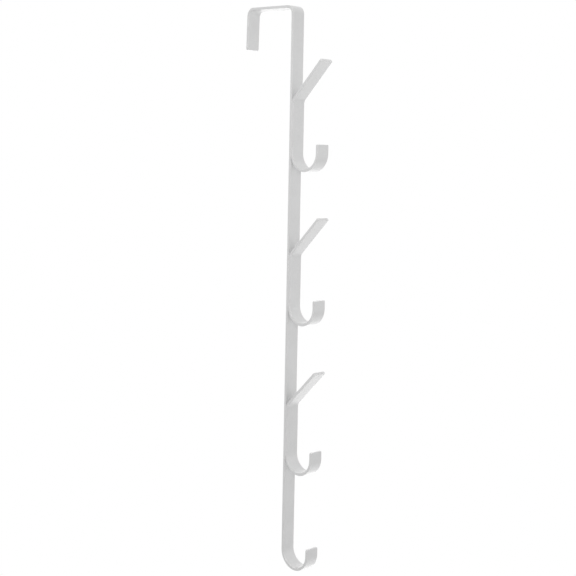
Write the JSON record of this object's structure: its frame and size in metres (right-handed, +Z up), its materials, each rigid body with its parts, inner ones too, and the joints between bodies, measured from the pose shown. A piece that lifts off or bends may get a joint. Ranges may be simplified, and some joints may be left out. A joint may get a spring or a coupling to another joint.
{
  "type": "over door hook",
  "caption": "Painted flat strip bent over the top of a door, with welded double hooks down its front and an upturned hook at its foot, for hanging clothes.",
  "frame": {"origin": "middle of the underside of the top bar, where it rests on the top edge of the door", "axes": "+Z up, -Y into the room where the hooks point, +X across the strip"},
  "size_m": [0.012, 0.0838, 0.446],
  "materials": {
    "painted_steel": "satin white powder coat"
  },
  "bodies": {
    "root": {"door_strip": "painted_steel", "upper_hook": "painted_steel", "middle_hook": "painted_steel", "lower_hook": "painted_steel"}
  },
  "joints": []
}
